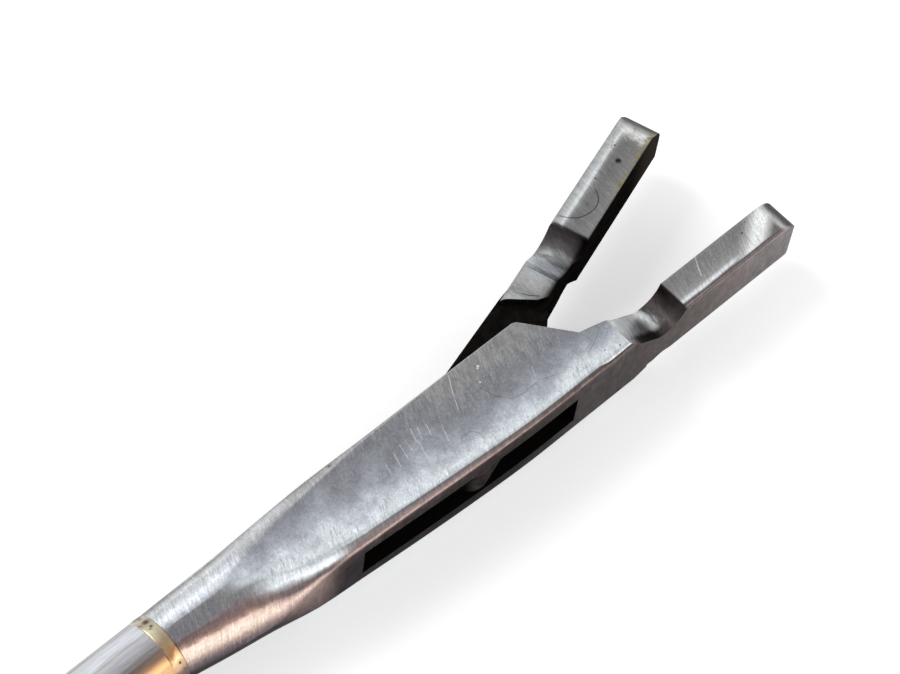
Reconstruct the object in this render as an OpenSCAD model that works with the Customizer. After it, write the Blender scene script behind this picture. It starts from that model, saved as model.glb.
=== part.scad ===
// Tube-shaft laryngeal forceps: a square-ended gripping tip worked by a push rod in a
// straight tube from a ring handle. It lies on its side, on the flat of the handle.
// X runs along the tube towards the tip, the jaw opens towards +Y, and the pivots lie along Z.

/* [Shaft] */
// Reach from the front of the union nut to the tip of the jaws
work_l = 200; // [150:1:260]
// Outside diameter of the tube
tube_d = 4.0; // [3.6:0.1:4.4]
// Diameter of the push rod
rod_d = 2.0; // [1.6:0.05:2.1]
// Radial clearance of the rod in its bore
rod_clear = 0.10; // [0.05:0.01:0.10]
// Diameter of the turned-down tube end inside the jaw head
spigot_d = 3.0; // [2.8:0.05:3.1]
// Depth of the tube end inside the jaw head
spigot_l = 4.0; // [2:0.25:6]
// Width of the braze ring between the tube and the jaw head
braze_w = 0.8; // [0.4:0.1:1.5]

/* [Jaw head] */
// Width of the jaw head across its ground flats
head_w = 4.6; // [4.2:0.05:5]
// Height of the cheeks above the tube axis
cheek_top = 1.47; // [1.2:0.01:1.8]
// Depth of the belly below the tube axis, at the jaws
belly = 3.75; // [3.5:0.05:4]
// Corner radius along the belly
belly_r = 0.36; // [0.2:0.02:0.5]
// Where the cheeks' sloping front edge starts, from the tube joint
cheek_end = 25.5; // [24.5:0.1:26]
// Side clearance of the push rod's fork in the slot between the cheeks
fork_clear = 0.10; // [0.05:0.01:0.2]
// Start of the slot, from the tube joint
slot_start = 10.8; // [9:0.1:13]
// End of the slot's window in the belly, from the tube joint
slot_end = 25.4; // [24:0.1:26]

/* [Jaws] */
// Length of the head and fixed jaw, from the tube joint to the tip
head_l = 42.7; // [41:0.1:45]
// Width of the gripping pads
pad_w = 3.4; // [3:0.05:3.8]
// Depth of the gripping plane below the tube axis
grip_y = 1.75; // [1.6:0.01:1.9]
// Gap between the pads when the jaws are shut
pad_gap = 0.04; // [0.02:0.01:0.1]
// Thickness of the moving jaw at its tip
jaw_t = 2.26; // [2:0.02:2.4]
// Corner radius of the jaw ends on the upper side, seen from above
tip_r = 1.5; // [0.9:0.05:1.7]
// Corner radius of the jaw ends on the under side
tip_r2 = 0.8; // [0.5:0.05:1.3]
// Small radius along the gripping edges and the fixed jaw's belly
edge_r = 0.20; // [0.1:0.02:0.3]
// Radius along the back of the moving jaw
back_r = 0.42; // [0.2:0.02:0.6]
// Deepest place of the ground hollows behind the pads, from the tube joint
neck_x = 32.1; // [31.8:0.1:32.3]
// Radius of the ground hollows
neck_r = 1.35; // [1.2:0.05:1.5]
// Half width left at the neck by the deep hollow on the upper side
neck_upper = 0.6; // [0.45:0.05:0.9]
// Half width left at the neck by the shallow hollow on the under side
neck_under = 1.4; // [0.9:0.05:1.5]
// Where the hollows start behind the neck, from the tube joint
hollow_start = 29.3; // [29:0.1:29.6]
// Opening angle at rest
open_deg = 18; // [12:0.5:19]

/* [Jaw linkage] */
// Place of the jaw pivot, from the tube joint
pivot_x = 18.9; // [18.4:0.1:19.4]
// Depth of the jaw pivot below the tube axis
pivot_y = 2.4; // [2.3:0.02:2.45]
// Diameter of the jaw pivot pin
pivot_d = 1.2; // [0.9:0.05:1.3]
// Radius of the eye round the jaw pivot
eye_r = 1.1; // [1:0.02:1.12]
// Radius of the lug round the link pin
lug_r = 0.95; // [0.8:0.05:1]
// Thickness of the lug inside the rod's fork
lug_t = 0.9; // [0.7:0.05:1]
// Diameter of the link pin
link_d = 0.9; // [0.7:0.05:1]
// Side clearance of each blade in its slot
side_clear = 0.05; // [0.03:0.01:0.08]
// Radial clearance of the turning holes
turn_clear = 0.05; // [0.03:0.01:0.08]
// Radial clearance of the fixed pins and screws in their holes
seat_clear = 0.01; // [0.01:0.005:0.03]

/* [Handle] */
// Thickness of the handle, and so of the side that it lies on
handle_t = 7.0; // [6.6:0.1:8]
// Height of the lever's pivot above the tube axis
lever_arm = 4.5; // [4.3:0.05:5]
// Diameter of the pivot screw's shank
screw_d = 3.0; // [2.5:0.1:3.2]
// Thickness of the thumb lever in its slot
lever_t = 3.0; // [2.8:0.05:3.2]
// Diameter of the rear link pin
rear_pin_d = 1.4; // [1.1:0.05:1.5]
// Thickness of the tongue on the rod end
tongue_t = 1.0; // [0.8:0.05:1.2]
// Inner radius of the finger and thumb rings
ring_r = 11; // [10:0.25:12.5]
// Width of the rings' band
ring_band = 4.6; // [4:0.1:5.2]
// Rounding of the handle's edges
handle_edge = 1.6; // [1:0.1:2]
// Finger ring's centre in front of the lever's pivot
finger_x = 18; // [16:0.5:22]
// Finger ring's centre below the tube axis
finger_y = 74; // [66:1:84]
// Thumb ring's centre behind the lever's pivot
thumb_x = 31; // [30:0.5:38]
// Thumb ring's centre below the tube axis
thumb_y = 68; // [60:1:78]

/* [Hidden] */
$fn = 48;
steel = [0.74, 0.75, 0.77];
dark_steel = [0.52, 0.53, 0.55];
bright_steel = [0.85, 0.86, 0.88];
braze_gold = [0.80, 0.62, 0.34];
bronze = [0.66, 0.50, 0.30];

// Levels, running sizes and the reach of cutters
axis_h = handle_t / 2;
bore_d = rod_d + 2 * rod_clear;
slot_w = rod_d + 2 * fork_clear;
blade_t = slot_w - 2 * side_clear;
over = 1;
wide = 2 * handle_t;
clear_y = 2 * belly;

// Jaws: foot of the cheeks' front edge, back end of the bars, end radii, how much shorter the upper
// side is, and the moving jaw's levels, lean and shoulder
foot_x = cheek_end + 2.2;
bar_back = foot_x - 0.7;
end_r = 0.98;
moving_end_r = 1.5;
grip_end_r = 0.5;
short = 0.4;
moving_low = pad_gap - grip_y;
moving_top = moving_low + jaw_t;
moving_lean = 0.35;
shoulder_x = foot_x + 0.9;

// Rod end, its lock nut and the rod's back end inside it
rod_back = 5.6;
socket_front = 7.6;
rod_end_d = 3.2;
rod_end_eye = 1.55;
rod_nut_d = 3.7;
rod_nut_l = 1.4;
fork_l = 3.2;

// Bush, cone, screws and nuts
bush_d = 3.0;
bush_l = 4;
socket_d = 5.4;
cone_l = 1.6;
cone_fall = 0.6;
small_screw_d = 2;
small_nut_d = 4;
small_nut_l = 1.3;
screw_slot = 0.4;
screw_slot_depth = 0.5;
set_screw_x = 17.5;
set_screw_l = 2.3;
pivot_head_d = 6;
pivot_head_t = 0.95;
pivot_slot = 0.6;
washer_t = 0.3;
flush = 0.05;

// Stop: height of its screw, its boss on the finger arm and the lever's front edge that meets it
stop_y = -14;
stop_boss_d = 5;
stop_boss_front = 10.4;
stop_screw_front = 13;
stop_nut_x = 3.6;
stop_gap = 0.1;
lever_front = [[1.6, -9], [-3.6, -20]];

// Handle block, with the tube's socket in front of the lever's cavity
block_back = -9;
block_front = 24;
block_top = lever_arm + 5.5;
block_low = -7.5;
corner_r = 1.2;
cavity_end = 11;
chamber_d = 4.4;
tube_back = 13;
nut_back = block_front + 0.4;
nut_front = block_front + 7;
nut_bevel = 1.2;
spigot_front = block_front + 4.6;
cone_back = spigot_front + 0.1;
joint_x = nut_front + work_l - head_l;

// Bends of the arms and the radii of their rounded section there
knee_y = -34;
knee_r = 3.4;
ring_end_r = 2.9;
finger_knee = [finger_x - 1.5, knee_y, 0];
lever_root = [-7.6, -20, 0];
lever_knee = [-14, knee_y, 0];
boss_r = 3.6;

// Motion: the lever turns through close_deg, the rod moves by stroke, the jaw shuts by open_deg
link_arm = pivot_y;
link_y = link_arm * (cos(open_deg / 2) - 1);
stroke = 2 * link_arm * sin(open_deg / 2);
close_deg = 2 * asin(stroke / (2 * lever_arm));
jaw_pivot = [pivot_x, -pivot_y];
link_shut = [pivot_x + stroke / 2, link_y];
link_open = [joint_x + pivot_x - stroke / 2, link_y];
rear_pin = [-lever_arm * sin(close_deg / 2), lever_arm * (1 - cos(close_deg / 2))];

// Head sections: place, half width, top, belly, top radius, bottom radius
head_h = head_w / 2;
tube_r = tube_d / 2;
HEAD = [
    [0, tube_r, tube_r, -tube_r, tube_r, tube_r],
    [2.5, 2.20, tube_r + 0.01, -2.42, 2.16, 2.18],
    [5, head_h, tube_r - 0.02, -2.80, 2.10, 2.26],
    [8, head_h, 1.87, -2.93, 1.34, 0.92],
    [11, head_h, 1.82, -3.09, 0.92, 0.62],
    [14.5, head_h, cheek_top + 0.12, -3.34, 0.32, 0.50],
    [18, head_h, cheek_top + 0.06, -3.56, 0.16, belly_r + 0.08],
    [22, head_h, cheek_top + 0.03, -belly + 0.02, 0.10, belly_r],
    [26, head_h, cheek_top, -belly, 0.10, belly_r],
    [31, head_h, cheek_top, -belly, 0.10, belly_r]
];

// Helpers

// Smooth value of a column of a table at a place, with the slope of its neighbours
function seg(t, x, i = 0) = i >= len(t) - 2 || x <= t[i + 1][0] ? i : seg(t, x, i + 1);
function slope(t, c, i) =
    i == 0 ? (t[1][c] - t[0][c]) / (t[1][0] - t[0][0])
    : i == len(t) - 1 ? (t[i][c] - t[i - 1][c]) / (t[i][0] - t[i - 1][0])
    : (t[i + 1][c] - t[i - 1][c]) / (t[i + 1][0] - t[i - 1][0]);
function flow(t, c, x) =
    let (i = seg(t, x), w = t[i + 1][0] - t[i][0], u = (x - t[i][0]) / w)
    (2 * u ^ 3 - 3 * u ^ 2 + 1) * t[i][c] + (u ^ 3 - 2 * u ^ 2 + u) * w * slope(t, c, i)
    + (3 * u ^ 2 - 2 * u ^ 3) * t[i + 1][c] + (u ^ 3 - u ^ 2) * w * slope(t, c, i + 1);

// Quarter of a circle in n steps, from the angle a on
function arc(c, r, a, n) =
    [for (k = [0:n]) [c[0] + r * cos(a + 90 * k / n), c[1] + r * sin(a + 90 * k / n)]];

// Points of a rounded rectangle between two corners, with one radius above and one below
function rounded(h, top, low, rt, rb, n) = concat(
    arc([h - rt, top - rt], rt, 0, n),
    arc([-h + rt, top - rt], rt, 90, n),
    arc([-h + rb, low + rb], rb, 180, n),
    arc([h - rb, low + rb], rb, 270, n));

// One ring of the head at a place along the axis, as points in space
function head_ring(x, n) = [for (p = rounded(flow(HEAD, 1, x), flow(HEAD, 2, x), flow(HEAD, 3, x),
    flow(HEAD, 4, x), flow(HEAD, 5, x), n)) [x, p[1], p[0]]];

// Closed skin over rings that all have the same number of points
module skin(rings) {
    m = len(rings[0]);
    k = len(rings);
    sides = [for (i = [0:k - 2], j = [0:m - 1])
        [i * m + j, i * m + (j + 1) % m, (i + 1) * m + (j + 1) % m, (i + 1) * m + j]];
    caps = [[for (j = [m - 1:-1:0]) j], [for (j = [0:m - 1]) (k - 1) * m + j]];
    polyhedron([for (r = rings) each r], concat(sides, caps), convexity = 6);
}

// Places the tip, which is drawn from the tube joint, and the handle, drawn from the lever's pivot
module at_tip() { translate([joint_x, 0, axis_h]) children(); }
module at_handle() { translate([0, 0, axis_h]) children(); }

// Round bar along the tube's axis, from one place to another
module bar_x(x0, x1, d) { translate([x0, 0, 0]) rotate([0, 90, 0]) cylinder(h = x1 - x0, d = d); }

// The same at another height
module bar_x_at(x0, x1, y, d) { translate([0, y, 0]) bar_x(x0, x1, d); }

// Six-sided nut along the tube's axis, measured over its corners
module nut_x(x, l, d) { translate([x, 0, 0]) rotate([0, 90, 0]) cylinder(h = l, d = d, $fn = 6); }

// Cone along the tube's axis
module cone_x(x, l, d0, d1) { translate([x, 0, 0]) rotate([0, 90, 0]) cylinder(h = l, d1 = d0, d2 = d1); }

// Square-ended groove, such as a screwdriver slot, from a corner
module groove(corner, size) { translate(corner) cube(size); }

// Round bar across the tool, centred on its mid-plane
module bar_z(p, l, d) { translate([p[0], p[1], -l / 2]) cylinder(h = l, d = d); }

// Slab from an outline, centred on the mid-plane
module slab(t) { translate([0, 0, -t / 2]) linear_extrude(t) children(); }

// Jaw bar with softened long edges: a straight prism from x0 to x1
module jaw_bar(x0, x1, top, low, rt, rb) {
    translate([x0, 0, 0]) rotate([90, 0, 90]) linear_extrude(x1 - x0)
        polygon([for (p = rounded(pad_w / 2, top, low, rt, rb, 5)) [p[1], p[0]]]);
}

// Side profile of a jaw's end, from its upper face round to its lower face: one radius above, one
// below, and how much further the lower corner reaches
function jaw_end(top, low, r0, r1, lean) = concat(
    [for (a = [90:-15:0]) [head_l - r0 + r0 * cos(a), top - r0 + r0 * sin(a)]],
    [for (a = [0:-15:-90]) [head_l + lean - r1 + r1 * cos(a), low + r1 + r1 * sin(a)]]);

// Outline of a jaw seen from above: an end ground rounder and a little shorter on the upper side
module jaw_plan() {
    w = pad_w / 2;
    back = slot_end - over;
    rotate([90, 0, 0]) slab(wide) polygon(concat([[back, -w]],
        arc([head_l - tip_r2, -w + tip_r2], tip_r2, 270, 6),
        arc([head_l - short - tip_r, w - tip_r], tip_r, 0, 8), [[back, w]]));
}

// One ground hollow: round at the pad, running out flat to the wide part behind it
module hollow(left) {
    c = [neck_x, left + neck_r];
    from = [hollow_start, head_h];
    reach = norm(c - from);
    down = atan2(c[1] - from[1], c[0] - from[0]) - asin(neck_r / reach);
    run = sqrt(reach ^ 2 - neck_r ^ 2);
    touch = from + run * [cos(down), sin(down)];
    translate(c) circle(neck_r, $fn = 96);
    polygon([from, touch, c, c + [neck_r, 0], [c[0] + neck_r, clear_y], [from[0], clear_y]]);
}

// The pair of hollows that narrow a jaw to its neck, deep above and shallow below
module neck_hollows() {
    rotate([90, 0, 0]) slab(wide) hollow(neck_upper);
    mirror([0, 0, 1]) rotate([90, 0, 0]) slab(wide) hollow(neck_under);
}

// Turns the moving jaw from its shut place to its open place at rest
module opened() { translate(jaw_pivot) rotate([0, 0, open_deg]) translate(-jaw_pivot) children(); }

// Sub-parts of the tip

module outer_tube() {
    color(steel) at_handle() difference() {
        union() {
            bar_x(tube_back, joint_x - braze_w, tube_d);
            bar_x(tube_back + bush_l + over, joint_x + spigot_l, spigot_d);
        }
        bar_x(tube_back - over, joint_x + spigot_l + over, bore_d);
        bar_x(tube_back - over, tube_back + bush_l, bush_d);
    }
}

module braze_ring() {
    color(braze_gold) at_tip() difference() {
        bar_x(-braze_w, 0, tube_d);
        bar_x(-braze_w - over, over, spigot_d);
    }
}

// Slot outline from the side: a window in the belly whose front wall slopes up into the jaw root
module slot_outline() {
    root = slot_end + 4;
    polygon([[slot_start, -clear_y], [slot_end, -clear_y], [slot_end, -belly + 0.35], [root, -grip_y - 0.4],
        [root + 0.8, -grip_y + 0.1], [root + 0.8, clear_y], [slot_start, clear_y]]);
}

// Everything above the cheeks' sloping front edge and the gripping plane
module front_cut() {
    polygon([[cheek_end - 0.4, clear_y], [cheek_end - 0.25, cheek_top + 0.02],
        [cheek_end + 0.1, cheek_top - 0.13], [foot_x, -grip_y + 0.47], [foot_x + 0.7, -grip_y + 0.32],
        [foot_x + 1.9, -grip_y], [head_l + over, -grip_y], [head_l + over, clear_y]]);
}

module jaw_head() {
    places = [each [0:0.75:6], each [7:1:26], 28.5, 31];
    color(steel) at_tip() difference() {
        union() {
            skin([for (x = places) head_ring(x, 6)]);
            fixed_jaw();
        }
        slab(wide) front_cut();
        slab(slot_w) slot_outline();
        bar_x(-over, spigot_l + 0.05, spigot_d + 2 * seat_clear);
        bar_x(-over, slot_start + over, bore_d);
        bar_z(jaw_pivot, wide, pivot_d + 2 * seat_clear);
        neck_hollows();
    }
}

// The fixed jaw is one piece with the head: a bar with a raked, rounded end
module fixed_jaw() {
    rake = -0.05;
    intersection() {
        jaw_bar(bar_back, head_l + over, 1, -belly, edge_r, edge_r);
        slab(wide) polygon(concat([[bar_back - over, 2], [head_l - end_r, 2]],
            jaw_end(-grip_y, -belly, end_r, end_r, rake), [[bar_back - over, -belly]]));
        jaw_plan();
    }
}

// Side outline of the moving jaw's tang, drawn shut: eye, lug and the blade between the cheeks
module tang_outline() {
    front = foot_x + 1.8;
    translate(jaw_pivot) circle(eye_r);
    translate(link_shut) circle(lug_r);
    polygon([jaw_pivot - [eye_r, 0], link_shut - [lug_r, 0], link_shut + [0, lug_r],
        [pivot_x + 3.5, 1.02], [foot_x + 0.2, 0.78], [front, 0.6], [front, moving_low + 0.3],
        [foot_x, -grip_y - 0.5], [cheek_end - 0.5, -grip_y - 1.3], jaw_pivot + [1.9, -eye_r],
        jaw_pivot - [0, eye_r]]);
}

// Shut outline of the moving jaw's bar: sloping shoulder at the back, thin neck, square rounded tip
module moving_bar_outline() {
    relief = moving_low + 0.28;
    end = jaw_end(moving_top, moving_low, moving_end_r, grip_end_r, 0);
    polygon(concat([[shoulder_x - 1.05, moving_top + 0.2], [shoulder_x, moving_low + 0.6],
        [shoulder_x + 0.5, relief - 0.1], [neck_x - 0.6, relief], [neck_x + 0.1, relief],
        [neck_x + 0.7, moving_low]], [for (k = [len(end) - 1:-1:0]) end[k]]));
}

// The bar's back leans a little, so its prism is tilted by that angle about the tip
module moving_bar() {
    intersection() {
        translate([head_l, moving_top, 0]) rotate([0, 0, -moving_lean]) translate([-head_l, 0, 0])
            jaw_bar(slot_end - over, head_l + over, 0, -2 * jaw_t, back_r, edge_r);
        jaw_bar(slot_end - over, head_l + over, 2 * jaw_t, moving_low, back_r, edge_r);
    }
}

module moving_jaw() {
    color(steel) at_tip() opened() difference() {
        union() {
            intersection() {
                moving_bar();
                slab(wide) moving_bar_outline();
                jaw_plan();
            }
            difference() {
                slab(blade_t) tang_outline();
                for (s = [-1, 1])
                    translate([0, 0, s * (lug_t + head_w) / 2]) fork_pocket();
            }
        }
        neck_hollows();
        bar_z(jaw_pivot, wide, pivot_d + 2 * turn_clear);
        bar_z(link_shut, wide, link_d + 2 * turn_clear);
    }
}

// Room beside the lug for one prong of the rod's fork, over the whole swing
module fork_pocket() {
    room = 0.25;
    slab(head_w) union() {
        translate(link_shut) circle(rod_d / 2 + room);
        translate([link_shut[0] - 2 * fork_l, -pivot_y + eye_r + 0.02]) square([2 * fork_l, clear_y]);
    }
}

module jaw_pivot_pin() {
    color(bright_steel) at_tip() bar_z(jaw_pivot, head_w - 0.02, pivot_d);
}

module jaw_link_pin() {
    color(bright_steel) at_handle() bar_z(link_open, rod_d - 2 * flush, link_d);
}

// The rod's front end is forked round the moving jaw's lug
module push_rod() {
    fork_gap = lug_t + 2 * side_clear;
    color(bright_steel) at_handle() difference() {
        union() {
            bar_x(rod_back, link_open[0], rod_d);
            intersection() {
                bar_x(link_open[0] - over, link_open[0] + rod_d, rod_d);
                bar_z(link_open, 2 * rod_d, rod_d);
            }
        }
        groove([link_open[0] - fork_l, -rod_d, -fork_gap / 2], [2 * fork_l, 2 * rod_d, fork_gap]);
        bar_z(link_open, 2 * rod_d, link_d + 2 * seat_clear);
    }
}

// Sub-parts of the handle

module rod_guide_bush() {
    color(bronze) at_handle() difference() {
        bar_x(tube_back, tube_back + bush_l, bush_d - 2 * seat_clear);
        bar_x(tube_back - over, tube_back + bush_l + over, bore_d);
    }
}

// Socket screwed on the rod, with a tongue that sits in the lever's fork
module rod_end() {
    neck = 2.6;
    color(dark_steel) at_handle() difference() {
        union() {
            bar_x(rear_pin[0] + neck, socket_front, rod_end_d);
            slab(tongue_t) union() {
                translate(rear_pin) circle(rod_end_eye);
                translate(rear_pin - [0, rod_end_eye]) square([neck + over, 2 * rod_end_eye]);
            }
        }
        bar_x(rod_back - 2 * flush, socket_front + over, rod_d + 2 * seat_clear);
        bar_z(rear_pin, 2 * rod_end_d, rear_pin_d + 2 * turn_clear);
    }
}

module rod_lock_nut() {
    color(bright_steel) at_handle() difference() {
        nut_x(socket_front, rod_nut_l, rod_nut_d);
        bar_x(socket_front - over, socket_front + rod_nut_l + over, rod_d + 2 * seat_clear);
    }
}

module rod_end_pin() {
    color(bright_steel) at_handle() bar_z(rear_pin, lever_t - 2 * flush, rear_pin_d);
}

// Flat-sided disc with rounded rims: the section that every arm of the handle has
module pebble(r, t) {
    e = min(handle_edge, r - 0.2);
    rotate_extrude($fn = 32) polygon(concat([[0, -t / 2]], arc([r - e, -t / 2 + e], e, -90, 5),
        arc([r - e, t / 2 - e], e, 0, 5), [[0, t / 2]]));
}

// Arm that tapers from one disc to the next
module arm(p0, r0, p1, r1, t) {
    hull() {
        translate(p0) pebble(r0, t);
        translate(p1) pebble(r1, t);
    }
}

// Ring for a finger, with the same rounded section
module finger_ring(t) {
    e = handle_edge;
    rotate_extrude($fn = 72) translate([ring_r, 0]) polygon(concat(
        arc([e, -t / 2 + e], e, 180, 4), arc([ring_band - e, -t / 2 + e], e, 270, 4),
        arc([ring_band - e, t / 2 - e], e, 0, 4), arc([e, t / 2 - e], e, 90, 4)));
}

// Outline of the handle's block round the tube socket and the lever's cavity
module block_outline() {
    r = 3;
    nose = block_front - corner_r;
    shoulder_x = lever_arm * 0.4 + r;
    slant = 60;
    polygon(concat(arc([nose, block_low + corner_r + r], corner_r, 270, 5),
        arc([nose, -block_low - corner_r - r], corner_r, 0, 5),
        arc([shoulder_x, block_top - r], r, slant, 5), arc([block_back + r, block_top - r], r, 90, 5),
        arc([block_back + r, block_low + r + 2], r, 180, 5)));
}

// Cavity that the lever swings in, open at the back and below
module lever_cavity_outline() {
    wall = 5.2;
    back = block_back - over;
    foot = knee_y - over;
    polygon([[back, foot], [back, block_top + over], [-3.5, block_top + over], [wall, block_top - 0.6],
        [wall, -2.2], [wall - 0.8, -6], [wall - 2.2, -16], [0, foot]]);
}

module handle_body() {
    color(steel) at_handle() difference() {
        union() {
            slab(handle_t) block_outline();
            bar_x(block_front - over, spigot_front, socket_d);
            arm([10, -3, 0], 5, finger_knee, knee_r, handle_t);
            arm(finger_knee, knee_r, [finger_x, ring_r - finger_y + 2, 0], ring_end_r, handle_t);
            translate([finger_x, -finger_y, 0]) finger_ring(handle_t);
            bar_x_at(stop_nut_x + small_nut_l, stop_boss_front, stop_y, stop_boss_d);
        }
        slab(lever_t + 2 * side_clear) lever_cavity_outline();
        bar_x(block_back + over, cavity_end, chamber_d);
        bar_x(cavity_end - over, spigot_front + over, tube_d + 2 * seat_clear);
        bar_z([0, lever_arm], wide, screw_d + 2 * seat_clear);
        translate([0, lever_arm, handle_t / 2 - pivot_head_t - washer_t - flush])
            cylinder(h = handle_t, d = pivot_head_d + 0.2);
        translate([set_screw_x, 0, 0]) rotate([-90, 0, 0])
            cylinder(h = wide, d = small_screw_d + 2 * seat_clear);
        bar_x_at(0, stop_screw_front + over, stop_y, small_screw_d + 2 * seat_clear);
        bar_z([finger_x, -finger_y], wide, 2 * ring_r);
    }
}

// Outline of the lever inside the cavity: boss round the pivot and neck down to the arm
module lever_outline() {
    translate([0, lever_arm]) circle(boss_r);
    polygon([[-boss_r, lever_arm], [boss_r, lever_arm], [2.4, 0], lever_front[0], lever_front[1],
        [-11, lever_root[1]], [-6.5, -4]]);
}

module thumb_lever() {
    fork_gap = tongue_t + 2 * side_clear;
    room = [2 * lever_arm, 5];
    color(steel) at_handle() difference() {
        union() {
            slab(lever_t) lever_outline();
            arm(lever_root, boss_r, lever_knee, knee_r - 0.1, handle_t);
            arm(lever_knee, knee_r - 0.1, [5 - thumb_x, ring_r - thumb_y + 1, 0], ring_end_r, handle_t);
            translate([-thumb_x, -thumb_y, 0]) finger_ring(handle_t);
        }
        bar_z([0, lever_arm], wide, screw_d + 2 * turn_clear);
        bar_z(rear_pin, wide, rear_pin_d + 2 * seat_clear);
        groove([-2.6, -room[1] / 2, -fork_gap / 2], [room[0], room[1], fork_gap]);
        groove([rod_end_d / 2, -room[1] / 2, -lever_t], [room[0], room[1], 2 * lever_t]);
        bar_z([-thumb_x, -thumb_y], wide, 2 * ring_r);
    }
}

module pivot_screw() {
    top = handle_t / 2 - flush;
    color(bright_steel) at_handle() translate([0, lever_arm, 0]) difference() {
        union() {
            translate([0, 0, -top]) cylinder(h = 2 * top - pivot_head_t / 2, d = screw_d);
            translate([0, 0, top - pivot_head_t]) cylinder(h = pivot_head_t, d = pivot_head_d);
        }
        groove([-pivot_head_d, -pivot_slot / 2, top - screw_slot_depth],
            [2 * pivot_head_d, pivot_slot, screw_slot_depth + over]);
    }
}

module pivot_washer() {
    color(dark_steel) at_handle()
        translate([0, lever_arm, handle_t / 2 - flush - pivot_head_t - washer_t]) difference() {
            cylinder(h = washer_t, d = pivot_head_d);
            translate([0, 0, -over]) cylinder(h = washer_t + 2 * over, d = screw_d + 2 * turn_clear);
        }
}

// Split cone that the union nut squeezes on the tube
module tube_ferrule() {
    color(bronze) at_handle() difference() {
        cone_x(cone_back, cone_l, socket_d, socket_d - cone_fall);
        bar_x(cone_back - over, cone_back + cone_l + over, tube_d + 2 * seat_clear);
    }
}

module union_nut() {
    grips = 18;
    grip_r = 0.34;
    nut_d = handle_t - 0.2;
    bevel_back = nut_front - nut_bevel;
    color(steel) at_handle() difference() {
        union() {
            bar_x(nut_back, bevel_back, nut_d);
            cone_x(bevel_back, nut_bevel, nut_d, nut_d - nut_bevel);
        }
        bar_x(nut_back - over, cone_back + cone_l + 2 * flush, socket_d + 2 * seat_clear);
        bar_x(nut_back - over, nut_front + over, tube_d + 2 * seat_clear);
        for (a = [0:360 / grips:359])
            rotate([a, 0, 0]) translate([nut_back + 0.8, nut_d / 2 + 0.12, 0]) rotate([0, 90, 0])
                cylinder(h = 3.8, r = grip_r, $fn = 16);
    }
}

module tube_set_screw() {
    color(dark_steel) at_handle() translate([set_screw_x, tube_r, 0]) rotate([-90, 0, 0]) difference() {
        cylinder(h = set_screw_l, d = small_screw_d);
        groove([-small_screw_d, -screw_slot / 2, set_screw_l - screw_slot_depth],
            [2 * small_screw_d, screw_slot, screw_slot_depth + over]);
    }
}

// Screw in the finger arm that stops the lever when the jaws have shut
module stop_screw() {
    color(bright_steel) at_handle() translate([0, stop_y, 0]) difference() {
        bar_x(lever_stop_x() + stop_gap, stop_screw_front, small_screw_d);
        groove([stop_screw_front - screw_slot_depth, -screw_slot / 2, -small_screw_d],
            [screw_slot_depth + over, screw_slot, 2 * small_screw_d]);
    }
}

// A point of the lever once the jaws are shut
function shut(p) = let (d = p - [0, lever_arm])
    [d[0] * cos(close_deg) - d[1] * sin(close_deg),
        lever_arm + d[0] * sin(close_deg) + d[1] * cos(close_deg)];

// Where the lever's front edge then stands, at the height of the stop screw's upper side
function lever_stop_x() =
    let (a = shut(lever_front[0]), b = shut(lever_front[1]), y = stop_y + small_screw_d / 2)
    a[0] + (b[0] - a[0]) * (y - a[1]) / (b[1] - a[1]);

module stop_lock_nut() {
    color(bright_steel) at_handle() translate([0, stop_y, 0]) difference() {
        nut_x(stop_nut_x, small_nut_l, small_nut_d);
        bar_x(stop_nut_x - over, stop_nut_x + small_nut_l + over, small_screw_d + 2 * seat_clear);
    }
}

outer_tube();
braze_ring();
jaw_head();
moving_jaw();
jaw_pivot_pin();
jaw_link_pin();
push_rod();
rod_guide_bush();
rod_end();
rod_lock_nut();
rod_end_pin();
handle_body();
thumb_lever();
pivot_screw();
pivot_washer();
tube_ferrule();
union_nut();
tube_set_screw();
stop_screw();
stop_lock_nut();
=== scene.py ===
# %% [markdown]
# # Laryngeal forceps
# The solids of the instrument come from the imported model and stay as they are. This script gives
# them their metal finishes, the marks of use, the lumpy braze and the fine screw threads, and sets
# up the studio. Lengths on the tool are thought of in millimetres from two places: the brazed joint
# between the tube and the head, and the pivot screw of the handle.

# %% Load the solids
import math

import bmesh
import bpy
from mathutils import Matrix, Vector, noise


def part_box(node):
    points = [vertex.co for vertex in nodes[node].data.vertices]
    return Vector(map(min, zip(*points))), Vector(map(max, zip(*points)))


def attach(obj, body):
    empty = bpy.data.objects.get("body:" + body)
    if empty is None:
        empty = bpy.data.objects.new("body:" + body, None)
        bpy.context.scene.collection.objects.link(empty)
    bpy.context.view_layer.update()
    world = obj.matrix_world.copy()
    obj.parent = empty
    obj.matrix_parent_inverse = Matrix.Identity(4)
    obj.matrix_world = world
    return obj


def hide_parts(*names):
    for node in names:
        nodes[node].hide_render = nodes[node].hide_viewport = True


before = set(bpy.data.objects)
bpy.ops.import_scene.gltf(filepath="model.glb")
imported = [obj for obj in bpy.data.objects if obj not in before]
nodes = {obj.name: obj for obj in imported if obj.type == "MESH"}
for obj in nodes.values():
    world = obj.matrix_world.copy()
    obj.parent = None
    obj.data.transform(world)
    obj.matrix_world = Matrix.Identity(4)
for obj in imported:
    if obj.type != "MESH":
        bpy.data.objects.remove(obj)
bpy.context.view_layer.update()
MM = 0.001

# %% [markdown]
# The brazed joint is the front end of the braze ring, and the tube's axis runs through the ring's
# middle. The jaw turns about its pivot pin. All three are read from the solids, so the finishes
# follow them if the solids change.

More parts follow.
